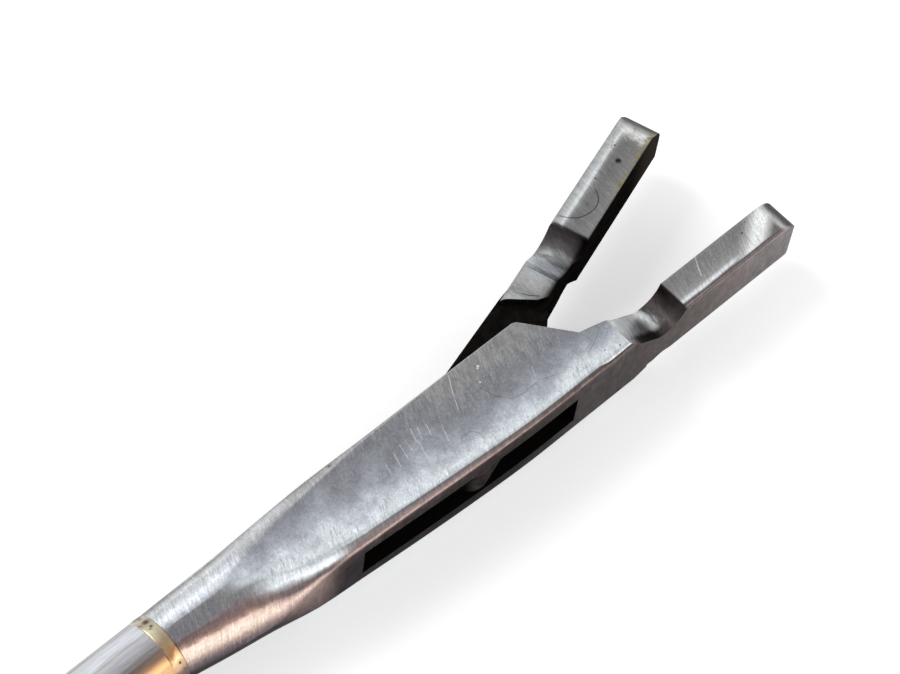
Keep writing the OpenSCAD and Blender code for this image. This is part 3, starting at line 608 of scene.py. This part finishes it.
# %% Give a solid its finish
def soften_group(angle):
    """A modifier that shades smooth up to an angle in degrees."""
    group = bpy.data.node_groups.new(f"shade_smooth_{angle}", "GeometryNodeTree")
    group.interface.new_socket("Geometry", in_out="INPUT", socket_type="NodeSocketGeometry")
    group.interface.new_socket("Geometry", in_out="OUTPUT", socket_type="NodeSocketGeometry")
    make = group.nodes.new
    link = group.links.new
    start = make("NodeGroupInput")
    end = make("NodeGroupOutput")
    weld = make("GeometryNodeMergeByDistance")
    weld.inputs["Distance"].default_value = 0.0005 * MM
    forget = make("GeometryNodeRemoveAttribute")
    forget.inputs["Name"].default_value = "custom_normal"
    faces = make("GeometryNodeSetShadeSmooth")
    faces.domain = "FACE"
    edges = make("GeometryNodeSetShadeSmooth")
    edges.domain = "EDGE"
    bend = make("GeometryNodeInputMeshEdgeAngle")
    gentle = make("FunctionNodeCompare")
    gentle.operation = "LESS_THAN"
    gentle.inputs["B"].default_value = math.radians(angle)
    link(start.outputs[0], forget.inputs["Geometry"])
    link(forget.outputs["Geometry"], weld.inputs["Geometry"])
    link(weld.outputs["Geometry"], faces.inputs["Geometry"])
    link(faces.outputs["Geometry"], edges.inputs["Geometry"])
    link(bend.outputs["Unsigned Angle"], gentle.inputs["A"])
    link(gentle.outputs["Result"], edges.inputs["Shade Smooth"])
    link(edges.outputs["Geometry"], end.inputs[0])
    return group


SOFTEN = soften_group(24)


def dress(name, material):
    """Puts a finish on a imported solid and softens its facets."""
    solid = nodes[name]
    for number in range(len(solid.data.materials)):
        solid.data.materials[number] = material
    soften = solid.modifiers.new("soften", "NODES")
    soften.node_group = SOFTEN


head_steel = head_finish()
for name in ("jaw_head", "jaw_pivot_pin"):  # the pin's ends were filed together with the cheeks
    dress(name, head_steel)

# %% [markdown]
# The moving jaw is duller than the head. Its outer face has a painted highlight along the ground bevel of the back,
# some yellow residue near the tip, a pit, and a curved hairline. Its gripping face and the tang in the slot are painted
# nearly black, as shade. The jaw lies open in the model, so its place is first turned back to the shut pose, where its
# edges run along X.

# %% Finish of the moving jaw
# Painted shading of the jaw's outer face by height, with a painted highlight along the back
JAW_PAINTED_SHADING = [(-1.74, 0.13), (-1.6, 0.165), (-1.5, 0.215), (-1.2, 0.195), (-0.9, 0.18), (-0.6, 0.165), (-0.3, 0.19),
              (-0.14, 0.30), (-0.05, (0.58, 0.61, 0.63)), (0.04, (0.62, 0.65, 0.67)), (0.14, (0.48, 0.50, 0.52)),
              (0.3, 0.40), (0.7, 0.36)]
JAW_LINES = [[(33.95, 0.32), (34.02, 0.02), (34.17, -0.30), (34.28, -0.49), (34.45, -0.66), (34.72, -0.85),
              (35.02, -0.98), (35.33, -1.06), (35.62, -1.07), (35.88, -1.01), (36.11, -0.89), (36.29, -0.73),
              (36.43, -0.53)], [(28.53, -0.29), (28.6, -0.6), (28.83, -1.03)]]
JAW_SPECKS = [(38.78, -0.74, 1.7, 0.16), (32.92, -1.19, 1.7, 0.09), (39.6, -0.1, 1.7, 0.05), (37.1, -0.2, 1.7, 0.05)]


def shut_place(finish, place):
    """The place that a point of the open jaw has when the jaws are shut."""
    turned = finish.node("ShaderNodeVectorRotate", rotation_type="Z_AXIS")
    finish.feed(turned.inputs["Vector"], place)
    turned.inputs["Center"].default_value = (pivot_x, pivot_y, 0)
    turned.inputs["Angle"].default_value = -math.radians(jaw_open)
    return turned.outputs[0]


def shut_facing(finish, facing):
    turned = finish.node("ShaderNodeVectorRotate", rotation_type="Z_AXIS")
    finish.feed(turned.inputs["Vector"], facing)
    turned.inputs["Angle"].default_value = -math.radians(jaw_open)
    return turned.outputs[0]


def jaw_finish():
    steel = Finish("ground_jaw_steel", (0.2, 0.2, 0.2), 0.34, rim=0.42)
    place = shut_place(steel, steel.place(joint))
    facing = shut_facing(steel, steel.facing())
    x, y, z = steel.split(place)
    nx, ny, nz = steel.split(facing)
    side = steel.math("ABSOLUTE", nz)
    height = steel.math("ABSOLUTE", z)
    scratch = cross_scratches(steel, place, 9.0, 1.1)
    mottle = steel.noise(place, 0.8, 4.0, 0.6)
    cloud = steel.noise(place, 2.2, 5.0, 0.7, 0.5)
    uneven = steel.math("MULTIPLY", steel.math("SUBTRACT", mottle, 0.5), 0.16)

    # Outer face: painted shading, with a painted highlight along the back, and painted lighter towards the tip
    face = steel.ramp(steel.math("ADD", y, uneven), JAW_PAINTED_SHADING)
    tip_x = steel.math("ADD", x, steel.math("MULTIPLY", steel.math("SUBTRACT", cloud, 0.5), 1.3))
    at_tip = steel.ramp(y, [(-1.7, (0.22, 0.215, 0.18)), (-1.5, (0.40, 0.40, 0.34)), (-1.2, 0.80), (-0.9, 0.65),
                            (-0.6, 0.55), (-0.3, 0.70), (0, 0.62), (0.2, 0.42), (0.5, 0.46)])
    colour = steel.blend(steel.span(tip_x, 40.1, 40.9), face, at_tip)

    # Neck and shoulder, in painted light and shade: light floor with a painted glint, darker wall, and painted shade
    # going black below
    shine = steel.noise(steel.join(steel.math("MULTIPLY", x, 2.0), steel.math("MULTIPLY", y, 0.8), z), 1.0, 4.0, 0.65)
    floor_x = steel.math("ADD", x, steel.math("MULTIPLY", steel.math("SUBTRACT", shine, 0.5), 1.5))
    neck = steel.ramp(floor_x, [(27.5, (0.36, 0.38, 0.39)), (28.2, (0.36, 0.38, 0.39)), (28.6, 0.24), (28.9, 0.32),
                                (29.4, 0.36), (30.2, (0.38, 0.40, 0.42)), (30.8, (0.62, 0.66, 0.70)),
                                (31.4, (0.50, 0.53, 0.56)), (31.8, (0.24, 0.25, 0.255)), (32.3, 0.20), (32.6, 0.10),
                                (33.0, (0.06, 0.052, 0.056)), (33.4, (0.05, 0.042, 0.045))])
    glint = steel.both(steel.span(steel.speck(place, (31.85, -0.02, 1.0), 0.5, 0.9), 0.1, 0.9), steel.span(shine, 0.42, 0.56))
    neck = steel.blend(glint, neck, (0.70, 0.74, 0.74))
    lower = steel.ramp(steel.math("ADD", y, uneven), [(-1.5, 0.06), (-1.38, 0.25), (-1.25, 0.62), (-0.9, 0.86), (-0.3, 1)])
    neck = steel.blend(1.0, neck, lower, "MULTIPLY")
    colour = steel.blend(steel.span(x, 33.6, 33.35), colour, neck)
    cave = steel.both(steel.band(x, 30.75, 31.5, 0.25), steel.span(side, 0.05, 0.2))

    # Back edge and the worn end: painted shade where the rounded end turns away, and a painted highlight on faces that
    # look to the back
    worn_x, worn_y, worn_z = steel.split(shut_facing(steel, steel.worn_facing(0.35)))
    turning = steel.both(steel.span(x, 40.3, 41.1), steel.span(worn_x, 0.1, 0.3))
    end_shade = steel.ramp(worn_x, [(0.1, 0.55), (0.3, 0.42), (0.5, (0.16, 0.155, 0.15)), (0.75, 0.13), (1.0, 0.2)])
    colour = steel.blend(turning, colour, end_shade)
    colour = steel.blend(steel.span(ny, 0.6, 0.9), colour, (0.40, 0.41, 0.41))

    # Marks of use, residue and pits near the tip
    upper = steel.span(z, 0.8, 1.1)
    dark = steel.math("MULTIPLY", steel.strokes(x, y, JAW_LINES, 0.05), 0.7)
    dark = steel.both(steel.math("MAXIMUM", dark, steel.specks(place, JAW_SPECKS)), upper)
    colour = steel.blend(dark, colour, (0.012, 0.010, 0.008))
    rust = steel.noise(place, 3.2, 5.0, 0.7, 0.6)
    stain = steel.both(steel.span(rust, 0.54, 0.64), steel.span(x, 37.4, 39.4), steel.span(side, 0.8, 0.95))
    colour = steel.blend(steel.math("MULTIPLY", stain, 0.7), colour, (0.22, 0.17, 0.075))
    lower_tip = steel.both(steel.band(x, 37.3, 41.5, 0.8), steel.band(y, -1.72, -1.42, 0.06), steel.span(rust, 0.45, 0.55))
    colour = steel.blend(steel.math("MULTIPLY", lower_tip, 0.7), colour, (0.24, 0.20, 0.09))

    grain = steel.ramp(scratch, [(0.36, 0.72), (0.45, 0.93), (0.5, 1.0), (0.55, 1.07), (0.64, 1.35)])
    colour = steel.blend(1.0, colour, grain, "MULTIPLY")
    freckle = steel.ramp(steel.noise(place, 6.0, 3.0, 0.7), [(0.28, 0.80), (0.42, 0.97), (0.58, 1.03), (0.74, 1.22)])
    colour = steel.blend(1.0, colour, freckle, "MULTIPLY")

    # Gripping face, tang and the underside of the shoulder: painted shade, matt and near black, with a painted brownish
    # reflection low near the tip and a lighter painted shade on the heel
    grip = steel.both(steel.span(ny, -0.55, -0.85), steel.span(x, 24, 25))
    tang = steel.both(steel.span(height, 1.22, 1.12), steel.span(x, 30.5, 29.5))
    behind = steel.both(steel.span(nx, -0.2, -0.5), steel.span(x, 30, 29))
    black = steel.math("MAXIMUM", grip, steel.math("MAXIMUM", tang, behind))
    painted_shade = steel.ramp(cloud, [(0.38, (0.0042, 0.0038, 0.0035)), (0.62, (0.0105, 0.0090, 0.0080))])
    painted_shade = steel.blend(steel.both(grip, steel.span(x, 38.5, 41.5)), painted_shade, (0.040, 0.032, 0.026))
    heel = steel.both(steel.span(ny, -0.3, -0.8), steel.span(x, 22, 21))
    heel_shade = steel.ramp(cloud, [(0.4, (0.028, 0.025, 0.024)), (0.6, (0.060, 0.054, 0.052))])
    painted_shade = steel.blend(heel, painted_shade, heel_shade)
    colour = steel.blend(black, colour, painted_shade)
    steel.matt_black(steel.math("MAXIMUM", black, steel.math("MULTIPLY", cave, 0.5)))

    steel.colour(colour)
    steel.roughness(steel.math("ADD", 0.26, steel.math("MULTIPLY", scratch, 0.26)))
    steel.bumps((scratch, 0.008), (mottle, 0.015))
    return steel.material


dress("moving_jaw", jaw_finish())

# %% [markdown]
# The tube was drawn through a die and polished along its length, so its fine lines run the other way, along X. Near the
# head it carries painted reflections, streaks like those of the round neck, and towards the handle it turns to a
# plainer painted shading.

# %% Finish of the tube and the rod
def tube_finish():
    steel = Finish("drawn_tube_steel", (0.5, 0.5, 0.52), 0.3, rim=0.6)
    place = steel.place(joint)
    facing = steel.facing()
    x, y, z = steel.split(place)
    lines = steel.noise(steel.join(steel.math("MULTIPLY", x, 0.12), steel.math("MULTIPLY", y, 7.0),
                                   steel.math("MULTIPLY", z, 7.0)), 1.0, 4.0, 0.6)
    patch = steel.noise(place, 0.25, 4.0, 0.55)
    wobble = steel.math("MULTIPLY", steel.math("SUBTRACT", lines, 0.5), 14)
    angle = steel.math("ADD", angle_round_axis(steel, facing), wobble)
    # Painted reflections near the head: dark and coppery streaks low down, bright ones on the side that faces up
    tube_painted_reflections = steel.ramp(angle, [(-180, 0.34), (-120, 0.26), (-95, (0.16, 0.14, 0.14)), (-75, (0.30, 0.24, 0.20)),
                                 (-58, (0.70, 0.44, 0.24)), (-42, (0.74, 0.42, 0.19)), (-34, (0.34, 0.19, 0.10)),
                                 (-28, (0.15, 0.095, 0.065)), (-20, (0.13, 0.095, 0.085)), (-10, 0.28),
                                 (2, (0.42, 0.42, 0.46)), (11, 0.46),
                                 (20, (0.66, 0.68, 0.73)), (38, (0.64, 0.66, 0.70)), (50, 0.52), (64, 0.60),
                                 (95, 0.45), (180, 0.34)])
    # Plainer painted shading towards the handle, lighter on the side that faces up
    plain = steel.ramp(angle, [(-180, 0.20), (-120, 0.12), (-95, (0.085, 0.08, 0.08)), (-72, 0.16), (-50, 0.42),
                               (-38, 0.38), (-26, 0.14), (-14, 0.15), (0, 0.30), (11, 0.36),
                               (20, (0.50, 0.51, 0.54)), (38, (0.48, 0.49, 0.52)), (50, 0.38), (64, 0.44), (95, 0.28),
                               (180, 0.20)])
    plain = steel.blend(1.0, plain, steel.ramp(patch, [(0.3, 0.88), (0.7, 1.1)]), "MULTIPLY")
    fine = steel.noise(steel.join(steel.math("MULTIPLY", x, 0.35), steel.math("MULTIPLY", y, 5.0),
                                  steel.math("MULTIPLY", z, 5.0)), 1.0, 4.0, 0.7, 0.3)
    fine = steel.ramp(fine, [(0.36, 0.78), (0.5, 1.0), (0.64, 1.16)])
    tube_painted_reflections = steel.blend(1.0, tube_painted_reflections, fine, "MULTIPLY")
    colour = steel.blend(steel.span(x, -5, -13), tube_painted_reflections, plain)
    steel.colour(colour)
    steel.roughness(steel.math("ADD", 0.2, steel.math("MULTIPLY", lines, 0.25)))
    steel.bumps((lines, 0.006))
    return steel.material


def bright_finish(name, colour, roughness):
    """Turned and polished steel: fine rings of the tool, a little mottling, and painted shade in slots, threads and
    inner corners.
    """
    steel = Finish(name, colour, roughness, rim=0.6)
    place = steel.place()
    mottle = steel.noise(place, 1.2, 4.0, 0.6)
    fine = steel.noise(place, 9.0, 3.0, 0.6)
    shade = steel.ramp(mottle, [(0.3, tuple(c * 0.82 for c in colour)), (0.7, tuple(min(c * 1.12, 1) for c in colour))])
    steel.colour(steel.painted_crevice_shade(shade, 0.6))
    steel.roughness(steel.math("ADD", roughness - 0.08, steel.math("MULTIPLY", fine, 0.16)))
    steel.bumps((fine, 0.004))
    return steel.material


dress("outer_tube", tube_finish())
rod_steel = bright_finish("polished_rod_steel", (0.52, 0.53, 0.55), 0.26)
pin_steel = bright_finish("ground_pin_steel", (0.46, 0.47, 0.49), 0.3)
screw_steel = bright_finish("screw_steel", (0.50, 0.51, 0.53), 0.24)
dull_steel = bright_finish("blackened_steel", (0.17, 0.17, 0.18), 0.4)
bronze = bright_finish("dull_bronze", (0.42, 0.29, 0.14), 0.38)
for name in ("push_rod",):
    dress(name, rod_steel)
for name in ("jaw_link_pin", "rod_end_pin"):
    dress(name, pin_steel)
for name in ("pivot_screw", "stop_screw", "stop_lock_nut", "rod_lock_nut"):
    dress(name, screw_steel)
for name in ("pivot_washer", "tube_set_screw", "rod_end"):
    dress(name, dull_steel)
for name in ("rod_guide_bush", "tube_ferrule"):
    dress(name, bronze)

# %% [markdown]
# The handle is forged and satin polished. It is outside the photo, and it gets its own steel with a soft cloudiness,
# fine brushed lines and painted light. Faces that look up are painted lighter and faces that look sideways darker. The
# edges carry a painted highlight that also stands for polish from handling, and slots and inner corners get painted
# shade. A Bevel node, compared with the true facing, finds the edges.

# %% Finish of the handle, the lever and the nut
def handle_finish():
    steel = Finish("satin_handle_steel", (0.3, 0.3, 0.32), 0.32, rim=0.45)
    place = steel.place()
    true_facing = steel.node("ShaderNodeNewGeometry").outputs["True Normal"]
    nx, ny, nz = steel.split(true_facing)
    cloud = steel.noise(place, 0.12, 4.0, 0.6)
    fine = steel.noise(place, 3.5, 5.0, 0.65)
    brushed = steel.noise(steel.vector("MULTIPLY", place, (0.5, 4.0, 2.0)), 1.0, 4.0, 0.7)
    # Painted reflection: faces that look sideways are painted darker, as if they saw the darker room, and faces that
    # look up lighter, as if they saw the lamp
    level = steel.math("ADD", steel.math("ABSOLUTE", nz), steel.math("MULTIPLY", steel.math("SUBTRACT", cloud, 0.5), 0.35))
    shade = steel.ramp(level, [(0.0, (0.11, 0.108, 0.112)), (0.35, (0.15, 0.148, 0.155)), (0.65, (0.40, 0.41, 0.43)),
                               (0.85, (0.36, 0.37, 0.39)), (1.0, (0.27, 0.275, 0.295)), (1.1, (0.22, 0.225, 0.24))])
    # Painted highlight on the rounded edges, standing also for polish from handling
    bevel = steel.node("ShaderNodeBevel")
    bevel.samples = 4
    bevel.inputs["Radius"].default_value = 0.5 * MM
    away = steel.vector("DOT_PRODUCT", bevel.outputs[0], true_facing)
    shade = steel.blend(steel.span(away, 0.985, 0.90), shade, (0.56, 0.58, 0.60))
    grain = steel.ramp(fine, [(0.3, 0.85), (0.7, 1.15)])
    shade = steel.blend(1.0, shade, grain, "MULTIPLY")
    lines = steel.ramp(brushed, [(0.36, 0.84), (0.5, 1.0), (0.64, 1.18)])
    # Painted shade in slots and inner corners
    steel.colour(steel.painted_crevice_shade(steel.blend(1.0, shade, lines, "MULTIPLY"), 0.8))
    steel.roughness(steel.math("ADD", 0.24, steel.math("MULTIPLY", fine, 0.18)))
    steel.bumps((fine, 0.006))
    return steel.material


handle_steel = handle_finish()
for name in ("handle_body", "thumb_lever", "union_nut"):
    dress(name, handle_steel)

# %% [markdown]
# The braze is the gold ring between the tube and the head. Filler metal freezes with small lumps and
# pits, so a plain band would look machined. The ring is rebuilt here as a turned band whose surface
# is pushed in and out by a noise, and it stands for the plain solid.

# %% Braze ring
BRAZE_PITS = [(-0.32, tube_r * math.sin(math.radians(a)), tube_r * math.cos(math.radians(a)), r)
              for a, r in ((58, 0.30), (31, 0.17), (47, 0.10), (18, 0.09))]


def braze_colour():
    gold = Finish("braze_gold", (0.5, 0.36, 0.2), 0.3)
    place = gold.place(joint)
    facing = gold.facing()
    lumps = gold.noise(place, 1.6, 4.0, 0.6, 0.3)
    angle = angle_round_axis(gold, facing)
    angle = gold.math("ADD", angle, gold.math("MULTIPLY", gold.math("SUBTRACT", lumps, 0.5), 40))
    # Painted reflections round the ring: a bright coppery band low down with dark bands beside it, and lighter towards
    # the side that faces up, broken up by the lumps
    colour = gold.ramp(angle, [(-180, (0.30, 0.22, 0.13)), (-80, (0.12, 0.09, 0.075)), (-70, (0.18, 0.13, 0.11)),
                               (-60, (0.59, 0.38, 0.235)), (-50, (0.86, 0.62, 0.36)), (-40, (0.54, 0.29, 0.14)),
                               (-30, (0.20, 0.10, 0.05)), (-20, (0.25, 0.175, 0.105)), (-10, (0.31, 0.23, 0.16)),
                               (0, (0.45, 0.37, 0.26)), (10, (0.50, 0.47, 0.34)), (20, (0.56, 0.53, 0.39)),
                               (32, (0.40, 0.34, 0.25)), (40, (0.47, 0.42, 0.325)), (50, (0.50, 0.47, 0.41)),
                               (62, (0.60, 0.58, 0.54)), (100, (0.45, 0.40, 0.32)), (180, (0.30, 0.22, 0.13))])
    x, y, z = gold.split(place)
    fade = gold.both(gold.span(angle, 62, 40), gold.span(angle, -38, -20), gold.noise(place, 2.6, 3.0, 0.6, 0.2))
    colour = gold.blend(gold.math("MULTIPLY", fade, 0.35), colour, (0.30, 0.235, 0.15))
    pits = gold.span(gold.noise(place, 3.4, 2.0, 0.5), 0.34, 0.26)
    pits = gold.math("MAXIMUM", pits, gold.specks(place, BRAZE_PITS))
    colour = gold.blend(gold.math("MULTIPLY", pits, 0.85), colour, (0.05, 0.03, 0.02))
    gold.colour(colour)
    gold.roughness(gold.math("ADD", 0.2, gold.math("MULTIPLY", lumps, 0.3)))
    gold.bumps((lumps, 0.03))
    return gold.material


def braze_bead():
    """A band between the tube and the head, with a lumpy outside."""
    around = 144
    rows = 9
    proud = 0.045
    inner_r = tube_r * 0.8
    bm = bmesh.new()
    rings = []
    for row in range(rows):
        share = row / (rows - 1)
        ring = []
        for step in range(around):
            angle = 2 * math.pi * step / around
            way = Vector((0, math.sin(angle), math.cos(angle)))
            lump = noise.noise(way * 2.3 + Vector((share * 0.9, 4.1, 0)))
            swell = math.sin(math.pi * share) * proud * (0.7 + 1.2 * lump)
            edge = 0.05 * noise.noise(way * 3.1 + Vector((9, 0, 0))) if 0 < row < rows - 1 else 0
            x = (-ring_w * (1 - share) + edge) * MM
            ring.append(bm.verts.new(joint + Vector((x, 0, 0)) + way * (tube_r + max(swell, -0.02)) * MM))
        rings.append(ring)
    for share in (1, 0):
        x = -ring_w * (1 - share) * MM
        rings.append([bm.verts.new(joint + Vector((x, 0, 0)) + Vector((0, math.sin(a), math.cos(a))) * inner_r * MM)
                      for a in (2 * math.pi * step / around for step in range(around))])
    for first, second in zip(rings, rings[1:] + rings[:1]):
        for step in range(around):
            after = (step + 1) % around
            bm.faces.new((first[step], second[step], second[after], first[after]))
    bmesh.ops.recalc_face_normals(bm, faces=bm.faces)
    mesh = bpy.data.meshes.new("braze_bead")
    bm.to_mesh(mesh)
    bm.free()
    mesh.shade_smooth()
    bead = bpy.data.objects.new("braze_bead", mesh)
    scene.collection.objects.link(bead)
    return bead


bead = braze_bead()
bead.data.materials.append(braze_colour())
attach(bead, "frame")
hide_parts("braze_ring")
print("braze bead faces:", len(bead.data.polygons))

# %% [markdown]
# The stop screw and the rod's end are threaded, and here the stop screw gets its thread. A thread is one small ridge
# wound round the shank, which a short function sweeps as a closed strip with a triangular section.

# %% Threads
def thread(name, start, end, radius, pitch, proud, body, material):
    """A ridge wound round a shank that runs along X, from one end to the other, in metres."""
    steps = 28
    length = (end - start).length
    turns = length / pitch
    count = int(turns * steps)
    bm = bmesh.new()
    rows = []
    for step in range(count + 1):
        angle = 2 * math.pi * step / steps
        way = Vector((0, math.sin(angle), math.cos(angle)))
        fade = min(1, step / steps * 2, (count - step) / steps * 2)
        centre = start + (end - start) * (step / count)
        half = Vector((pitch * 0.36, 0, 0))
        root = centre + way * (radius - 0.02 * MM)
        crest = centre + way * (radius + proud * max(fade, 0.02))
        rows.append([bm.verts.new(root - half), bm.verts.new(crest), bm.verts.new(root + half)])
    for first, second in zip(rows, rows[1:]):
        for a, b in ((0, 1), (1, 2), (2, 0)):
            bm.faces.new((first[a], first[b], second[b], second[a]))
    bm.faces.new(rows[0])
    bm.faces.new(reversed(rows[-1]))
    bmesh.ops.recalc_face_normals(bm, faces=bm.faces)
    mesh = bpy.data.meshes.new(name)
    bm.to_mesh(mesh)
    bm.free()
    mesh.materials.append(material)
    ridge = bpy.data.objects.new(name, mesh)
    scene.collection.objects.link(ridge)
    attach(ridge, body)
    print(name, "turns:", round(turns, 1))
    return ridge


screw_low, screw_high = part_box("stop_screw")
nut_low, nut_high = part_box("stop_lock_nut")
screw_y = (screw_low.y + screw_high.y) / 2
screw_r = (screw_high.z - screw_low.z) / 2
axis_z = joint.z
thread("stop_screw_thread", Vector((screw_low.x + 0.3 * MM, screw_y, axis_z)),
       Vector((nut_low.x - 0.05 * MM, screw_y, axis_z)), screw_r, 0.4 * MM, 0.06 * MM, "frame",
       screw_steel)
